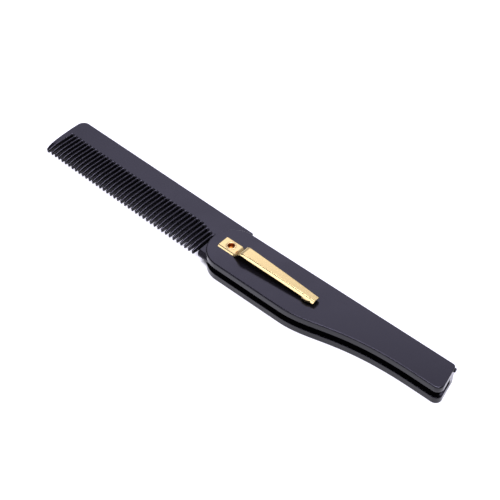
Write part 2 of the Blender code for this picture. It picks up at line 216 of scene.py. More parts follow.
# Amber patch beside the rivet, on the clip's bend: a painted reflection of the rivet's dark bore
PAINTED_REFLECTION_X = 3.2
PAINTED_REFLECTION_Y = -0.8
PAINTED_REFLECTION_LENGTH = 0.3
PAINTED_REFLECTION_WIDTH = 0.85
# Each long side of the clip: x, its crease from the middle line, fold angle and flange length
FAR_SIDE = (
    (3.0, 2.2, 52.0, 0.74),
    (3.4, 2.0, 52.0, 0.40),
    (3.9, 1.62, 52.0, 0.35),
    (6.2, 1.47, 52.0, 0.4),
    (7.0, 1.45, 52.0, 0.7),
    (9.5, 1.42, 52.0, 1.1),
    (31.0, 0.95, 52.0, 1.1),
    (TIP_X, 0.75, 52.0, 1.1),
)
NEAR_SIDE = (
    (3.0, 2.2, 52.0, 0.95),
    (3.5, 2.6, 52.0, 0.45),
    (6.0, 2.6, 52.0, 0.4),
    (7.0, 2.35, 52.0, 0.75),
    (9.5, 2.02, 52.0, 1.1),
    (31.0, 1.4, 52.0, 1.1),
    (TIP_X, 1.44, 52.0, 1.1),
)
# Where the strip's sections stand: from each end, and along the pad, the ramp and the arm
END_ROWS = (0.0, 0.02, 0.05, 0.09, 0.15, 0.22, 0.3, 0.38, 0.5)
PAD_ROWS = (PAD_START + 0.7, PAD_END - 0.6, 12)
RAMP_ROWS = (PAD_END - 0.4, ARM_START + 0.5, 72)
ARM_ROWS = (ARM_START + 1.0, TIP_X - 0.7, 60)

# Sizes of the finishes' patterns
GLOSS_PATCH = 11.111
MOULD_WAVE = 3.846
# A real brush stroke is some 0.05 mm wide; it is drawn coarser, so that it shows
STROKE_WIDTH = 0.26316

# Light: height of a direction, and how bright the studio is there
BACKDROP = (
    (0.0, 0.8),
    (0.54, 0.8),
    (0.6, 1.05),
    (0.645, 1.4),
    (0.685, 1.78),
    (0.725, 2.38),
    (0.745, 2.35),
    (0.79, 1.15),
    (0.83, 0.95),
    (0.88, 0.03),
)
SIDE_GLOW = ((0.0, 1.3), (0.05, 1.2), (0.12, 0.03), (1.0, 0.03))
FRONT_PANEL = ((0.0, 1.2), (0.15, 0.5), (0.25, 0.5), (0.3, 3.4), (0.4, 3.4), (0.46, 0.03))
SOFT_BOX_DIRECTION = (-0.05, 0.1, 0.994)
SOFT_BOX_BRIGHTNESS = 11.0
LIGHT_TINT = (0.98, 0.93, 1.32, 1.0)
FLOOR_HALF = 3.0
FLOOR_DROP = 0.00005
FLOOR_GLOW = 1.1236


def linear(code):
    """An sRGB hex colour as linear red, green, blue and alpha."""
    values = np.array([int(code[place:place + 2], 16) for place in (1, 3, 5)]) / 255
    low = values / 12.92
    high = ((values + 0.055) / 1.055) ** 2.4
    return (*np.where(values <= 0.04045, low, high), 1.0)


def add_node(tree, kind, settings=(), links=()):
    """Adds a node, sets its properties or sockets by name, and links sockets into its inputs.

    The setting "stops" is a colour ramp's: each stop is a place and a grey.
    """
    node = tree.nodes.new(kind)
    for name, value in dict(settings).items():
        if name == "stops":
            elements = node.color_ramp.elements
            while len(elements) < len(value):
                elements.new(1.0)
            for element, (place, grey) in zip(elements, value):
                element.position = place
                element.color = (grey, grey, grey, 1.0)
        elif isinstance(name, str) and hasattr(node, name):
            setattr(node, name, value)
        else:
            node.inputs[name].default_value = value
    for name, socket in dict(links).items():
        tree.links.new(socket, node.inputs[name])
    return node


def smooth(value):
    """Runs from 0 to 1 with level ends as value does: 3v^2 - 2v^3."""
    value = np.clip(value, 0.0, 1.0)
    return value * value * (3 - 2 * value)


def blend(start, end, share):
    return start + (end - start) * share


def grid_faces(rows, columns, closed):
    """Four corners of each cell of a grid of rows and columns, which may close round the columns."""
    last = columns if closed else columns - 1
    row, column = np.meshgrid(np.arange(rows - 1), np.arange(last), indexing="ij")
    after = (column + 1) % columns
    corners = (row * columns + column, row * columns + after)
    above = ((row + 1) * columns + after, (row + 1) * columns + column)
    return np.stack(corners + above, axis=-1).reshape(-1, 4)


def end_caps(rows, columns):
    """Flat caps over the first and the last row of a grid that is closed round its columns."""
    last = (rows - 1) * columns
    return [list(range(columns)), list(range(last, last + columns))[::-1]]


def make_piece(name, points, faces, turn=0.0):
    """Makes a mesh from points in millimetres from the rivet, turned about it, then set in place."""
    points = np.asarray(points, float).reshape(-1, 3)
    cos, sin = math.cos(turn), math.sin(turn)
    x = points[:, 0] * cos - points[:, 1] * sin + RIVET_X
    y = points[:, 0] * sin + points[:, 1] * cos + RIVET_Y
    placed = np.column_stack((x, y, points[:, 2])) * MM
    mesh = bpy.data.meshes.new(name)
    mesh.from_pydata(placed.tolist(), [], [list(map(int, face)) for face in faces])
    shape = bmesh.new()
    shape.from_mesh(mesh)
    bmesh.ops.remove_doubles(shape, verts=shape.verts, dist=WELD_DISTANCE)
    bmesh.ops.recalc_face_normals(shape, faces=shape.faces)
    shape.to_mesh(mesh)
    shape.free()
    piece = bpy.data.objects.new(name, mesh)
    bpy.context.scene.collection.objects.link(piece)
    return piece


def arc_path(centre, radius, start, end, steps):
    """Points and outward normals on an arc: centre + radius * (cos a, sin a), a in degrees."""
    angle = np.radians(np.linspace(start, end, steps + 1))
    normal = np.column_stack((np.cos(angle), np.sin(angle)))
    return np.hstack((np.asarray(centre) + radius * normal, normal))


def corner_path(corners, steps):
    """Rounds the corners of a closed outline: rows of x, y and radius, anticlockwise.

    Each corner becomes an arc that touches both of its edges. Its centre stands a radius off the
    edges, and the outward normal turns evenly from one edge's to the other's.
    """
    corners = np.asarray(corners, float)
    place, radius = corners[:, :2], corners[:, 2:3]
    ahead = np.roll(place, -1, axis=0) - place
    ahead /= np.linalg.norm(ahead, axis=1, keepdims=True)
    behind = np.roll(ahead, 1, axis=0)
    cross = behind[:, 0] * ahead[:, 1] - behind[:, 1] * ahead[:, 0]
    turn = np.arctan2(cross, (behind * ahead).sum(axis=1))[:, None]
    side = np.sign(turn)
    first = np.column_stack((behind[:, 1], -behind[:, 0]))
    start = place - behind * radius * np.tan(np.abs(turn) / 2)
    centre = start - side * radius * first
    angle = np.arctan2(first[:, 1:], first[:, :1]) + turn * np.linspace(0, 1, steps + 1)
    normal = np.stack((np.cos(angle), np.sin(angle)), axis=-1)
    points = centre[:, None] + (side * radius)[:, None] * normal
    return np.concatenate((points, normal), axis=-1)


def rolled_edge(height, radius, steps):
    """Inset and height of a quarter round that comes down from a face at that height."""
    angle = np.linspace(0, np.pi / 2, steps + 1)
    return np.column_stack((radius * (1 - np.sin(angle)), height - radius * (1 - np.cos(angle))))


def plate(path, profile):
    """A plate: each profile row's inset and height carried round the path, with flat caps."""
    shape = (len(profile), len(path))
    return carried(
        path, np.broadcast_to(profile[:, :1], shape), np.broadcast_to(profile[:, 1:], shape)
    )


def carried(path, inset, height):
    """A closed skin: rows of insets and heights at each point of the path, with flat caps."""
    place = path[None, :, :2] - path[None, :, 2:] * inset[:, :, None]
    points = np.concatenate((place, height[:, :, None]), axis=-1)
    rows, columns = points.shape[:2]
    faces = grid_faces(rows, columns, True).tolist() + end_caps(rows, columns)
    return points.reshape(-1, 3), faces


def turned(profile, steps, centre=(0.0, 0.0)):
    """A turned shape: rows of radius and height carried round an upright axis, ends closed."""
    profile = np.asarray(profile, float)
    angle = np.linspace(0, 2 * np.pi, steps, endpoint=False)
    x = centre[0] + profile[:, :1] * np.cos(angle)
    y = centre[1] + profile[:, :1] * np.sin(angle)
    z = np.broadcast_to(profile[:, 1:], x.shape)
    faces = grid_faces(len(profile), steps, True).tolist()
    return np.stack((x, y, z), axis=-1).reshape(-1, 3), faces


def combine(piece, tool, operation):
    """Cuts or joins a piece with a tool and removes the tool."""
    modifier = piece.modifiers.new("cut", "BOOLEAN")
    modifier.operation = operation
    modifier.solver = "EXACT"
    modifier.object = tool
    bpy.context.view_layer.update()
    evaluated = piece.evaluated_get(bpy.context.evaluated_depsgraph_get())
    mesh = bpy.data.meshes.new_from_object(evaluated)
    piece.modifiers.clear()
    piece.data = mesh
    bpy.data.objects.remove(tool, do_unlink=True)


def finish_shading(piece, angle):
    """Smooth shading that stays level on the flats, with creases past the angle kept sharp."""
    piece.data.shade_smooth()
    piece.data.set_sharp_from_angle(angle=math.radians(angle))
    modifier = piece.modifiers.new("level_flats", "WEIGHTED_NORMAL")
    modifier.keep_sharp = True
    modifier.weight = 100


def set_material(piece, material):
    piece.data.materials.clear()
    piece.data.materials.append(material)


# Handle

def handle_path():
    """The handle's outline: nose arc, belly, cubic narrowing, neck, slanted end and back.

    It starts where the slot starts on the nose, and also gives the count of points up to the end
    of the slot on the free end.
    """
    middle = (HANDLE_BACK + HANDLE_BELLY) / 2
    centre = (NOSE_X, middle)
    opening = math.degrees(math.acos((SPINE_START - NOSE_X) / NOSE_RADIUS))
    nose = arc_path(centre, NOSE_RADIUS, opening, 270, NOSE_STEPS)
    belly = np.array([(FLOOR_BEND, HANDLE_BELLY, 0.0, -1.0)])
    t = np.linspace(0, 1, 49)[:, None]
    ends = ((BELLY_END, HANDLE_BELLY), (BELLY_END + BELLY_PULL, HANDLE_BELLY))
    ends += ((NECK_START - NECK_PULL, NECK_Y), (NECK_START, NECK_Y))
    weights = ((1 - t) ** 3, 3 * (1 - t) ** 2 * t, 3 * (1 - t) * t ** 2, t ** 3)
    curve = sum(weight * np.array(end) for weight, end in zip(weights, ends))
    along = np.gradient(curve, axis=0)
    along[0] = along[-1] = (1.0, 0.0)
    along /= np.linalg.norm(along, axis=1, keepdims=True)
    narrowing = np.column_stack((curve, along[:, 1], -along[:, 0]))
    slant = corner_path(
        (
            (NECK_START, NECK_Y, 0.0),
            (END_FRONT_X, NECK_Y, FRONT_CORNER),
            (END_BACK_X, HANDLE_BACK, BACK_CORNER),
            (NECK_START, HANDLE_BACK, 0.0),
        ),
        14,
    )
    front, back = slant[1], slant[2]
    share = (FLOOR_FAR - front[-1, 1]) / (back[0, 1] - front[-1, 1])
    floor_end = front[-1:] + (back[:1] - front[-1:]) * share
    crown = arc_path(centre, NOSE_RADIUS, 90, opening, 4)[:-1]
    open_part = np.vstack((nose, belly, narrowing, front, floor_end))
    return np.vstack((open_part, back, crown)), len(open_part)


def slot_floor(path, count):
    """Where the slot's inner wall stands across from each point of its open rim."""
    rim = path[:count, :2]
    floor = np.empty_like(rim)
    nose_end = NOSE_STEPS + 1
    first = SPINE_START_POINTS
    floor[:first, 0] = SPINE_START
    floor[:first, 1] = np.linspace(rim[0, 1], FLOOR_NEAR, first)
    floor[first:nose_end, 0] = np.linspace(SPINE_START, NOSE_X, nose_end - first)
    floor[first:nose_end, 1] = FLOOR_NEAR
    end = rim[-1]
    slope = (end[1] - FLOOR_NEAR) / (end[0] - FLOOR_BEND)
    x = np.minimum(rim[nose_end:, 0], end[0])
    floor[nose_end:, 0] = x
    floor[nose_end:, 1] = FLOOR_NEAR + slope * np.maximum(x - FLOOR_BEND, 0.0)
    floor[rim[:, 0] >= end[0]] = end
    return floor


def make_handle():
    """Two plates and a spine as one skin: a rounded edge, a wall, and a slot lined to its floor.

    The outer skin is a profile carried round the outline. Where the slot is open, the wall between
    the plates is left out and a lining runs in: a small lip, the slot's ceiling, its inner wall,
    its bottom and the lower lip. The lips shrink to nothing where the slot ends.
    """
    path, count = handle_path()
    total = len(path)
    step = np.linalg.norm(np.diff(path[:count, :2], axis=0), axis=1)
    length = np.concatenate(([0.0], np.cumsum(step)))
    lip = np.zeros(total)
    lip[:count] = LIP * smooth(length / LIP_FADE) * smooth((length[-1] - length) / LIP_FADE)
    top_edge = rolled_edge(HANDLE_HEIGHT, TOP_EDGE, EDGE_STEPS)
    low_edge = rolled_edge(HANDLE_HEIGHT, LOW_EDGE, EDGE_STEPS)[::-1] * (1, -1)
    low_edge += (0, HANDLE_HEIGHT)
    inset = np.concatenate((top_edge[:, 0], (0.0, 0.0), low_edge[:, 0]))
    rows = len(inset)
    height = np.empty((rows, total))
    slot_row = len(top_edge)
    height[:slot_row] = top_edge[:, 1:]
    height[slot_row] = SLOT_HIGH + lip
    height[slot_row + 1] = SLOT_LOW - lip
    height[slot_row + 2:] = low_edge[:, 1:]
    place = path[None, :, :2] - path[None, :, 2:] * inset[:, None, None]
    skin = np.concatenate((place, height[:, :, None]), axis=-1).reshape(-1, 3)
    faces = grid_faces(rows, total, True)
    in_slot = (faces[:, 0] // total == slot_row) & (faces[:, 0] % total < count - 1)
    faces = faces[~in_slot].tolist() + end_caps(rows, total)

    rim = path[:count]
    reach = lip[:count]
    floor = slot_floor(path, count)
    angle = np.linspace(0, np.pi / 2, 5)[:, None]
    lip_in = reach * (1 - np.cos(angle))
    lip_up = reach * (1 - np.sin(angle))
    upper = np.concatenate(
        (
            rim[None, :, :2] - rim[None, :, 2:] * lip_in[:, :, None],
            (SLOT_HIGH + lip_up)[:, :, None],
        ),
        axis=-1,
    )
    lower = upper[::-1].copy()
    lower[:, :, 2] = SLOT_LOW - lip_up[::-1]
    wall_top = np.column_stack((floor, np.full(count, SLOT_HIGH)))[None]
    wall_low = np.column_stack((floor, np.full(count, SLOT_LOW)))[None]
    lining = np.concatenate((upper, wall_top, wall_low, lower))
    lining_faces = grid_faces(len(lining), count, False) + len(skin)
    points = np.vstack((skin, lining.reshape(-1, 3)))
    handle = make_piece("handle_moulding", points, faces + lining_faces.tolist())

    low, high = np.array(GATE_BOX)
    corners = (
        (low[0], low[1], 0.1),
        (high[0], low[1], 0.2),
        (high[0], high[1], 0.3),
        (low[0], high[1], 0.1),
    )
    edge = rolled_edge(high[2], GATE_EDGE, 4)
    profile = np.vstack((edge, edge[::-1] * (1, -1) + (0, low[2] + high[2])))
    stub = make_piece("gate_stub", *plate(corner_path(corners, 4).reshape(-1, 4), profile))
    combine(handle, stub, "UNION")
    bore = (
        (0.0, -1.0),
        (RECESS_RADIUS + RECESS_CHAMFER, -1.0),
        (RECESS_RADIUS + RECESS_CHAMFER, 0.0),
        (RECESS_RADIUS, RECESS_CHAMFER),
        (RECESS_RADIUS, RECESS_DEPTH),
        (HOLE_RADIUS, RECESS_DEPTH),
        (HOLE_RADIUS, HANDLE_HEIGHT + 1),
        (0.0, HANDLE_HEIGHT + 1),
    )
    combine(handle, make_piece("handle_bore", *turned(bore, 64)), "DIFFERENCE")
    return handle


# Blade

def blade_path():
    """The blade's outline: guard end, gaps and teeth, heel, tang disc, tang corner and back.

    With each point comes how far in from it the rounding of the faces reaches, which is the whole
    half width on a tooth, and how far that rounding drops.
    """
    number = np.arange(GAP_COUNT)
    centre = FIRST_GAP + GAP_PITCH * number
    short = np.maximum(0, number - (GAP_COUNT - 1 - SHORT_GAPS))
    root = GAP_ROOT - SHORT_GAP_STEP * short
    tip = np.full(GAP_COUNT, BLADE_TIPS)
    root_round = np.full(GAP_COUNT, ROOT_RADIUS)
    tip_round = np.full(GAP_COUNT, TIP_RADIUS)
    gaps = np.stack(
        (
            np.column_stack((centre - TIP_HALF_WIDTH, tip, tip_round)),
            np.column_stack((centre - ROOT_HALF_WIDTH, root, root_round)),
            np.column_stack((centre + ROOT_HALF_WIDTH, root, root_round)),
            np.column_stack((centre + TIP_HALF_WIDTH, tip, tip_round)),
        ),
        axis=1,
    ).reshape(-1, 3)
    gaps[0, 2] = GUARD_INNER_RADIUS
    gaps[-1] = (HEEL_X, HEEL_BOTTOM, HEEL_CORNER)
    tang = (
        (TANG_RADIUS, HEEL_BOTTOM, TANG_RADIUS),
        (TANG_RADIUS, TANG_RADIUS, TANG_RADIUS),
        (TANG_END, TANG_RADIUS, 0.2),
        (TANG_END, BLADE_BACK, TANG_CORNER),
    )
    corners = np.vstack((GUARD_CORNERS, gaps, tang))
    large = corners[:, 2] > 1.0
    coarse = corner_path(corners, 6)
    fine = corner_path(corners, 36)
    path = np.vstack([fine[row] if large[row] else coarse[row] for row in range(len(corners))])
    inside = (path[:, 0] > ROUNDED_FROM) & (path[:, 0] < ROUNDED_TO)
    on_teeth = inside & (path[:, 1] < GAP_ROOT)
    at_tip = on_teeth & (path[:, 1] < BLADE_TIPS + TIP_RADIUS)
    way = np.clip((GAP_ROOT - path[:, 1]) / (GAP_ROOT - BLADE_TIPS), 0.0, 1.0)
    half = GAP_PITCH / 2 - blend(ROOT_HALF_WIDTH, TIP_HALF_WIDTH, way)
    reach = np.where(on_teeth, TOOTH_ROUNDING * half, BLADE_EDGE)
    reach = np.where(at_tip, TIP_ROUNDING * TIP_RADIUS, reach)
    change = smooth((way - CROWN_CHANGE) / CROWN_CHANGE_LENGTH)
    crown = blend(TOOTH_CROWN, TIP_CROWN, change)
    return path, reach, np.where(on_teeth, crown, BLADE_EDGE)


def blade_share(x, y):
    """Share of the full thickness at a place: the teeth taper to their tips, the heel slopes."""
    way = (GAP_ROOT - y) / (GAP_ROOT - BLADE_TIPS)
    taper = np.array(TOOTH_TAPER)
    teeth = np.interp(way, taper[:, 0], taper[:, 1])
    slope = np.array(HEEL_SLOPE)
    heel = np.interp(y / HEEL_BOTTOM, slope[:, 0], slope[:, 1])
    return blend(teeth, heel, smooth((x - LAST_GAP) / HEEL_BLEND + 0.5))


def make_blade():
    """A plate with rounded edges, sliced across and then thinned towards its tips and its heel.

    The slices put points where the thickness bends. Each height from the middle is then times the
    share of the full thickness at its place, and the lower face thins less than the upper one.
    """
    half = (BLADE_HIGH - BLADE_LOW) / 2
    middle = BLADE_LOW + half
    path, reach, drop = blade_path()
    angle = np.linspace(0, np.pi / 2, 7)[:, None]
    inset = reach * (1 - np.sin(angle))
    height = half - drop * (1 - np.cos(angle))
    points, faces = carried(
        path, np.vstack((inset, inset[::-1])), np.vstack((height, -height[::-1]))
    )
    mesh = bpy.data.meshes.new("blade_blank")
    mesh.from_pydata(points.tolist(), [], faces)
    shape = bmesh.new()
    shape.from_mesh(mesh)
    length = GAP_ROOT - BLADE_TIPS
    levels = [GAP_ROOT - length * way for way, share in TOOTH_TAPER[:-1]]
    levels += [HEEL_BOTTOM * way for way, share in HEEL_SLOPE[1:-1]]
    slices = [((0.0, level, 0.0), (0.0, 1.0, 0.0)) for level in levels]
    for place in np.linspace(LAST_GAP - HEEL_BLEND / 2, LAST_GAP + HEEL_BLEND / 2, 7):
        slices.append(((place, 0.0, 0.0), (1.0, 0.0, 0.0)))
    for place, normal in slices:
        bmesh.ops.bisect_plane(
            shape,
            geom=shape.verts[:] + shape.edges[:] + shape.faces[:],
            dist=SLICE_TOLERANCE,
            plane_co=place,
            plane_no=normal,
        )
    shape.to_mesh(mesh)
    shape.free()
    points = np.empty(len(mesh.vertices) * 3)
    mesh.vertices.foreach_get("co", points)
    points = points.reshape(-1, 3)
    share = blade_share(points[:, 0], points[:, 1])
    share = np.where(points[:, 2] < 0, 1 - LOWER_TAPER * (1 - share), share)
    points[:, 2] = middle + points[:, 2] * share
    faces = [list(face.vertices) for face in mesh.polygons]
    blade = make_piece("blade_moulding", points, faces, -OPEN_PAST_STRAIGHT)
    bpy.data.meshes.remove(mesh)
    low = BLADE_LOW - 1
    high = BLADE_HIGH + 1
    hole = ((0.0, low), (HOLE_RADIUS, low), (HOLE_RADIUS, high), (0.0, high))
    combine(blade, make_piece("blade_hole", *turned(hole, 64)), "DIFFERENCE")
    return blade


# Clip

def clip_height(x):
    """The upper face's height: the pad, a ramp and the arm.

    The ramp's slope rises from level, stays full and eases off, each by a smooth step, and its
    running sum is the share of the way from the pad up to the arm. The arm falls in a straight
    line to its tip, with a slight bow on top.
    """
    fine = np.linspace(PAD_END, SHOULDER, 400)
    share = (fine - PAD_END) / (SHOULDER - PAD_END)
    slope = smooth(share / RAMP_STEEP) * (1 - smooth((share - RAMP_EASES) / (1 - RAMP_EASES)))
    climb = np.concatenate(([0.0], np.cumsum((slope[1:] + slope[:-1]) / 2)))
    ramp = np.interp(x, fine, climb / climb[-1])
    along = np.clip((x - SHOULDER) / (TIP_X - SHOULDER), 0.0, 1.0)
    arm = blend(SHOULDER_HEIGHT, TIP_HEIGHT, along) + 4 * ARM_BOW * along * (1 - along)
    return HANDLE_HEIGHT + blend(PAD_HEIGHT, arm, ramp)


def clip_half(x, side, corner_cut, end_round):
    """Half the strip's section on one side: distance out and height, at each x.

    It runs from the middle of the upper face out, round the sheet's edge and back below. Here s is
    the way along the sheet and n the depth into it. The sheet is flat out to the fold, follows an
    arc of the crease radius through the fold's angle, then runs on straight.
    """
    side = np.array(side)
    crease = np.interp(x, side[:, 0], side[:, 1])
    fold = np.radians(np.interp(x, side[:, 0], side[:, 2]))
    flange = np.interp(x, side[:, 0], side[:, 3])
    flat = crease - CREASE_RADIUS * np.tan(fold / 2)
    reach = flat + flange - CREASE_RADIUS * np.tan(fold / 2) + CREASE_RADIUS * fold - corner_cut
    top = np.linspace(0, 1, 33) * (reach - SHEET_EDGE)
    quarter = np.linspace(0, np.pi / 2, 5)[1:]
    edge = reach - SHEET_EDGE * (1 - np.sin(quarter))
    edge_in = np.broadcast_to(SHEET_EDGE * (1 - np.cos(quarter)), edge.shape)
    s = np.hstack((top, edge, edge[:, ::-1], top[:, ::-1]))
    n = np.hstack((np.zeros_like(top), -edge_in))
    n = np.hstack((n, -SHEET - n[:, ::-1]))
    n = np.clip(n, -SHEET + end_round, -end_round)

    bend = np.clip((s - flat) / CREASE_RADIUS, 0.0, fold)
    rest = np.maximum(s - flat - CREASE_RADIUS * fold, 0.0)
    out = np.minimum(s, flat) + CREASE_RADIUS * np.sin(bend) + rest * np.cos(fold)
    down = CREASE_RADIUS * (1 - np.cos(bend)) + rest * np.sin(fold)
    return out + n * np.sin(bend), n * np.cos(bend) - down


def make_clip():
    """A strip of sheet carried along its rise and arm, its long edges folded down.

    The section of each half stands on the strip's height at x and leans with its slope. The ends
    are rounded in plan and across the sheet's thickness.
    """
    ends = np.array(END_ROWS)
    middle = [np.linspace(*rows) for rows in (PAD_ROWS, RAMP_ROWS, ARM_ROWS)]
    x = np.concatenate((PAD_START + ends, *middle, TIP_X - ends[::-1]))[:, None]
    height = clip_height(x)
    lean = np.arctan2(clip_height(x + 0.01) - clip_height(x - 0.01), 0.02)
    to_end = np.minimum(x - PAD_START, TIP_X - x)
    short = np.maximum(PLAN_CORNER - to_end, 0.0)
    corner_cut = PLAN_CORNER - np.sqrt(PLAN_CORNER ** 2 - short ** 2)
    short = np.maximum(SHEET_EDGE - to_end, 0.0)
    end_round = SHEET_EDGE - np.sqrt(SHEET_EDGE ** 2 - short ** 2)
    far, far_up = clip_half(x, FAR_SIDE, corner_cut, end_round)
    near, near_up = clip_half(x, NEAR_SIDE, corner_cut, end_round)
    across = np.hstack((far, -near[:, -2:0:-1]))
    up = np.hstack((far_up, near_up[:, -2:0:-1]))
    points = np.stack(
        (x - up * np.sin(lean), across, height + up * np.cos(lean)),
        axis=-1,
    )
    rows, columns = points.shape[:2]
    faces = grid_faces(rows, columns, True).tolist() + end_caps(rows, columns)
    clip = make_piece("clip_strip", points, faces)

    foot_top = HANDLE_HEIGHT + FOOT_TOP
    depth = FOOT_TOP - FOOT_GAP
    angle = np.linspace(0, np.pi / 2, 17)
    bowl = np.column_stack((np.sin(angle), -np.cos(angle)))
    bowl = np.vstack((bowl, ((0.85, 0.25), (0.0, 0.25))))
    points, faces = turned(bowl, 48)
    points = points * (FOOT_HALF_LENGTH, FOOT_HALF_WIDTH, depth) + (FOOT_X, FOOT_Y, foot_top)
    combine(clip, make_piece("clip_foot", points, faces), "UNION")
    low = HANDLE_HEIGHT - 0.5
    high = HANDLE_HEIGHT + PAD_HEIGHT + 0.5
    hole = ((0.0, low), (HOLE_RADIUS, low), (HOLE_RADIUS, high), (0.0, high))
    combine(clip, make_piece("clip_hole", *turned(hole, 64)), "DIFFERENCE")
    return clip


# Rivet

def make_rivet():
    """A hollow rivet: its profile turned about the joint's axis, with a rolled rim on the pad."""
    mouth = HANDLE_HEIGHT + PAD_HEIGHT
    rim = (RIM_RADIUS - BORE_RADIUS) / 2
    angle = np.linspace(np.pi, 0, 15)
    lip = np.column_stack((BORE_RADIUS + rim + rim * np.cos(angle), mouth + RIM_HEIGHT * np.sin(angle)))
    profile = np.vstack(
        (
            (0.0, mouth - BORE_DEPTH),
            (BORE_RADIUS - 0.25, mouth - BORE_DEPTH),
            (BORE_RADIUS - 0.08, mouth - BORE_DEPTH + 0.08),
            (BORE_RADIUS - 0.03, mouth - BORE_DEPTH + 0.25),
            (BORE_RADIUS - 0.03, mouth - 0.35),
            lip,
            (RIM_RADIUS - 0.15, mouth - 0.05),
            (SHANK_RADIUS, mouth - 0.1),
            (SHANK_RADIUS, HEAD_HIGH),
            (HEAD_RADIUS - 0.15, HEAD_HIGH),
            (HEAD_RADIUS, HEAD_HIGH - 0.15),
            (HEAD_RADIUS, HEAD_LOW + 0.4),
            (HEAD_RADIUS - 0.1, HEAD_LOW + 0.2),
            (HEAD_RADIUS - 0.3, HEAD_LOW + 0.06),
            (HEAD_RADIUS - 0.6, HEAD_LOW),
            (0.0, HEAD_LOW),
        )
    )
    return make_piece("rivet_turned", *turned(profile, 72))


# Materials

def new_material(name):
    """A material with its node tree and its shader."""
    material = bpy.data.materials.new(name)
    material.use_nodes = True
    return material, material.node_tree, material.node_tree.nodes["Principled BSDF"]


def plastic(name, colour, roughness):
    """Black styrene, moulded in a polished tool: near-black body under a clear gloss.

    To the eye it is the colour of what it mirrors, a soft grey violet here, with crisp edges. The
    tool leaves a faint waviness some 4 mm long, and handling dulls it in patches of some 11 mm.
    """
    material, tree, shader = new_material(name)
    shader.inputs["IOR"].default_value = 1.4
    place = add_node(tree, "ShaderNodeTexCoord").outputs["Object"]
    patches = add_node(
        tree,
        "ShaderNodeTexNoise",
        {"Scale": 1 / GLOSS_PATCH / MM, "Detail": 4.0},
        {"Vector": place},
    )
    dull = add_node(
        tree,
        "ShaderNodeMapRange",
        {"From Min": 0.35, "From Max": 0.7, "To Min": roughness, "To Max": roughness + 0.06},
        {"Value": patches.outputs["Fac"]},
    )
    tree.links.new(dull.outputs["Result"], shader.inputs["Roughness"])
    tone = add_node(
        tree,
        "ShaderNodeMix",
        {"data_type": "RGBA", 6: linear(colour), 7: linear("#0e0d0f")},
        {0: patches.outputs["Fac"]},
    )
    tree.links.new(tone.outputs[2], shader.inputs["Base Color"])
    waves = add_node(
        tree,
        "ShaderNodeTexNoise",
        {"Scale": 1 / MOULD_WAVE / MM, "Detail": 2.0},
        {"Vector": place},
    )
    bump = add_node(
        tree,
        "ShaderNodeBump",
        {"Strength": 0.12, "Distance": 0.00003},
        {"Height": waves.outputs["Fac"]},
    )
    tree.links.new(bump.outputs["Normal"], shader.inputs["Normal"])
    return material


def gilt_steel():
    """Spring steel sheet, brushed across and flash-plated with gold.

    To the eye it is a pale satin gold, nearly white where it mirrors the lights, with fine strokes
    across the strip. One small amber patch on the bend beside the rivet is a painted reflection of the
    rivet's dark bore.
    """
    material, tree, shader = new_material("brushed_gilt_spring_steel")
    shader.inputs["Metallic"].default_value = 1.0
    place = add_node(tree, "ShaderNodeTexCoord").outputs["Object"]
    stretched = add_node(tree, "ShaderNodeMapping", {"Scale": (1.0, 0.06, 0.3)}, {"Vector": place})
    strokes = add_node(
        tree,
        "ShaderNodeTexNoise",
        {"Scale": 1 / STROKE_WIDTH / MM, "Detail": 3.0},
        {"Vector": stretched.outputs["Vector"]},
    )
    tone = add_node(
        tree,
        "ShaderNodeMix",
        {"data_type": "RGBA", 6: linear("#c7b473"), 7: linear("#cdba7b")},
        {0: strokes.outputs["Fac"]},
    )
    # Painted reflection: an amber patch on the bend beside the rivet stands in for the rivet's dark
    # bore mirrored there
    from_painted_reflection = add_node(
        tree,
        "ShaderNodeMapping",
        {
            "Location": (-(RIVET_X + PAINTED_REFLECTION_X) / PAINTED_REFLECTION_LENGTH, -(RIVET_Y + PAINTED_REFLECTION_Y) / PAINTED_REFLECTION_WIDTH, 0.0),
            "Scale": (1 / PAINTED_REFLECTION_LENGTH / MM, 1 / PAINTED_REFLECTION_WIDTH / MM, 0.0),
        },
        {"Vector": place},
    )
    away = add_node(
        tree, "ShaderNodeVectorMath", {"operation": "LENGTH"}, {0: from_painted_reflection.outputs["Vector"]}
    )
    painted_reflection_share = add_node(
        tree,
        "ShaderNodeMapRange",
        {"From Min": 1.0, "From Max": 0.4},
        {"Value": away.outputs["Value"]},
    )
    with_painted_reflection = add_node(
        tree,
        "ShaderNodeMix",
        {"data_type": "RGBA", 7: linear("#a9712c")},
        {0: painted_reflection_share.outputs["Result"], 6: tone.outputs[2]},
    )
    tree.links.new(with_painted_reflection.outputs[2], shader.inputs["Base Color"])
    dull = add_node(
        tree,
        "ShaderNodeMapRange",
        {"From Min": 0.3, "From Max": 0.7, "To Min": 0.16, "To Max": 0.22},
        {"Value": strokes.outputs["Fac"]},
    )
    tree.links.new(dull.outputs["Result"], shader.inputs["Roughness"])
    bump = add_node(
        tree,
        "ShaderNodeBump",
        {"Strength": 0.02, "Distance": 0.00001},
        {"Height": strokes.outputs["Fac"]},
    )
    tree.links.new(bump.outputs["Normal"], shader.inputs["Normal"])
    return material


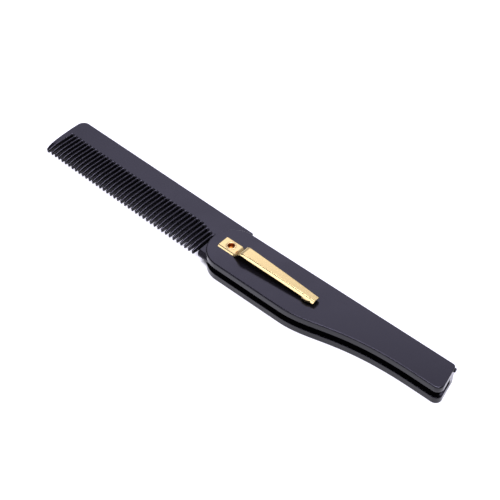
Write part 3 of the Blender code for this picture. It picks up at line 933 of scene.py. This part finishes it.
def rivet_brass():
    """Brass tube, drawn, rolled over and plated. Its bore is painted a darker amber than the rim, a
    painted shade in the hollow.

    To the eye its rolled rim is as bright as the clip, and its bore is a dark amber hole.
    """
    material, tree, shader = new_material("plated_rivet_brass")
    shader.inputs["Metallic"].default_value = 1.0
    shader.inputs["Roughness"].default_value = 0.4
    place = add_node(tree, "ShaderNodeTexCoord").outputs["Object"]
    centred = add_node(
        tree,
        "ShaderNodeMapping",
        {"Location": (-RIVET_X * MM, -RIVET_Y * MM, 0.0), "Scale": (1.0, 1.0, 0.0)},
        {"Vector": place},
    )
    away = add_node(
        tree, "ShaderNodeVectorMath", {"operation": "LENGTH"}, {0: centred.outputs["Vector"]}
    )
    # Painted shade: inside the bore's radius the colour turns to a darker amber, for the shade in the
    # hollow
    bright = add_node(
        tree,
        "ShaderNodeMapRange",
        {"From Min": BORE_RADIUS * MM, "From Max": (BORE_RADIUS + 0.2) * MM},
        {"Value": away.outputs["Value"]},
    )
    tone = add_node(
        tree,
        "ShaderNodeMix",
        {"data_type": "RGBA", 6: linear("#b87a35"), 7: linear("#cdb97c")},
        {0: bright.outputs["Result"]},
    )
    tree.links.new(tone.outputs[2], shader.inputs["Base Color"])
    return material


# Studio

def white_floor():
    """A large sheet of matt white paper that glows evenly, with painted shade under and beside the
    comb.

    To the eye it is a plain white without a horizon. Its glow is cut by ambient occlusion where the
    comb covers the sheet, which is a painted shade. The comb's sides mirror the glow, so they stay dark
    there.
    """
    material, tree, shader = new_material("white_paper_floor")
    shader.inputs["Base Color"].default_value = linear("#7c7c7c")
    shader.inputs["Roughness"].default_value = 1.0
    shader.inputs["Specular IOR Level"].default_value = 0.0
    shader.inputs["Emission Color"].default_value = linear("#f5f4ff")
    # Painted shade: the floor's glow is cut by ambient occlusion under and beside the comb
    painted_shade_cover = add_node(tree, "ShaderNodeAmbientOcclusion", {"samples": 16, "Distance": 0.015})
    glow = add_node(
        tree,
        "ShaderNodeMapRange",
        {"From Min": 0.29, "From Max": 0.37, "To Min": 0.0, "To Max": FLOOR_GLOW},
        {"Value": painted_shade_cover.outputs["AO"]},
    )
    tree.links.new(glow.outputs["Result"], shader.inputs["Emission Strength"])
    mesh = bpy.data.meshes.new("floor")
    corners = np.array(((-1, -1, 0), (1, -1, 0), (1, 1, 0), (-1, 1, 0))) * FLOOR_HALF
    mesh.from_pydata(corners.tolist(), [], [(0, 1, 2, 3)])
    floor = bpy.data.objects.new("floor", mesh)
    floor.location.z = -FLOOR_DROP
    bpy.context.scene.collection.objects.link(floor)
    floor.data.materials.append(material)


def studio_light():
    """A lit backdrop behind, a low panel in front, a soft box overhead, and dark between them.

    The sides have only a low glow. A direction's heading tells back, sides and front apart, its
    height then says how bright it is there, and its angle from the soft box's adds that box.
    """
    world = bpy.data.worlds.new("studio")
    bpy.context.scene.world = world
    world.use_nodes = True
    tree = world.node_tree
    background = tree.nodes["Background"]
    direction = add_node(tree, "ShaderNodeTexCoord").outputs["Generated"]
    rise = add_node(tree, "ShaderNodeSeparateXYZ", {}, {0: direction}).outputs["Z"]
    level = add_node(
        tree, "ShaderNodeVectorMath", {"operation": "MULTIPLY", 1: (1.0, 1.0, 0.0)}, {0: direction}
    )
    heading = add_node(
        tree, "ShaderNodeVectorMath", {"operation": "NORMALIZE"}, {0: level.outputs["Vector"]}
    )
    ahead = add_node(tree, "ShaderNodeSeparateXYZ", {}, {0: heading.outputs["Vector"]}).outputs["Y"]
    behind = add_node(
        tree,
        "ShaderNodeMapRange",
        {"interpolation_type": "SMOOTHSTEP", "From Min": 0.4, "From Max": 0.58},
        {"Value": ahead},
    )
    in_front = add_node(
        tree,
        "ShaderNodeMapRange",
        {"interpolation_type": "SMOOTHSTEP", "From Min": -0.3, "From Max": -0.6},
        {"Value": ahead},
    )
    overhead = add_node(
        tree,
        "ShaderNodeVectorMath",
        {"operation": "DOT_PRODUCT", 1: SOFT_BOX_DIRECTION},
        {0: direction},
    )
    in_box = add_node(
        tree,
        "ShaderNodeMapRange",
        {"interpolation_type": "SMOOTHSTEP", "From Min": 0.945, "From Max": 0.965},
        {"Value": overhead.outputs["Value"]},
    )
    back_ramp = add_node(tree, "ShaderNodeValToRGB", {"stops": BACKDROP}, {0: rise})
    side_ramp = add_node(tree, "ShaderNodeValToRGB", {"stops": SIDE_GLOW}, {0: rise})
    front_ramp = add_node(tree, "ShaderNodeValToRGB", {"stops": FRONT_PANEL}, {0: rise})
    back = add_node(
        tree,
        "ShaderNodeMix",
        {"data_type": "RGBA"},
        {0: behind.outputs["Result"], 6: side_ramp.outputs["Color"], 7: back_ramp.outputs["Color"]},
    )
    front = add_node(
        tree,
        "ShaderNodeMix",
        {"data_type": "RGBA"},
        {0: in_front.outputs["Result"], 6: back.outputs[2], 7: front_ramp.outputs["Color"]},
    )
    box = add_node(
        tree,
        "ShaderNodeMix",
        {"data_type": "RGBA", 7: (*[SOFT_BOX_BRIGHTNESS] * 3, 1.0)},
        {0: in_box.outputs["Result"], 6: front.outputs[2]},
    )
    tint = add_node(
        tree,
        "ShaderNodeMix",
        {"data_type": "RGBA", "blend_type": "MULTIPLY", 0: 1.0, 7: LIGHT_TINT},
        {6: box.outputs[2]},
    )
    tree.links.new(tint.outputs[2], background.inputs["Color"])


def place_camera():
    """The photograph's camera: its place is measured from the rivet, on the floor below it."""
    data = bpy.data.cameras.new("camera")
    data.lens = CAMERA_LENS
    data.sensor_width = SENSOR_WIDTH
    data.clip_start = 0.01
    camera = bpy.data.objects.new("camera", data)
    place = Vector(CAMERA_PLACE) + Vector((RIVET_X, RIVET_Y, 0.0))
    camera.location = place * MM
    camera.rotation_euler = (math.radians(90 - CAMERA_ELEVATION), 0.0, math.radians(CAMERA_AZIMUTH))
    bpy.context.scene.collection.objects.link(camera)
    bpy.context.scene.camera = camera


def main():
    place_camera()
    studio_light()
    white_floor()
    bpy.context.scene.view_settings.view_transform = "Standard"

    handle = make_handle()
    finish_shading(handle, 28)
    set_material(handle, plastic("moulded_black_styrene", "#0c0b0d", 0.16))
    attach(handle, "handle_body")
    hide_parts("handle")

    blade = make_blade()
    finish_shading(blade, 28)
    set_material(blade, plastic("moulded_black_comb_styrene", "#0c0b0d", 0.18))
    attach(blade, "blade_body")
    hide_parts("comb_blade")

    clip = make_clip()
    finish_shading(clip, 35)
    set_material(clip, gilt_steel())
    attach(clip, "handle_body")
    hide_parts("pocket_clip")

    rivet = make_rivet()
    finish_shading(rivet, 50)
    set_material(rivet, rivet_brass())
    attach(rivet, "handle_body")
    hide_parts("pivot_rivet")


main()
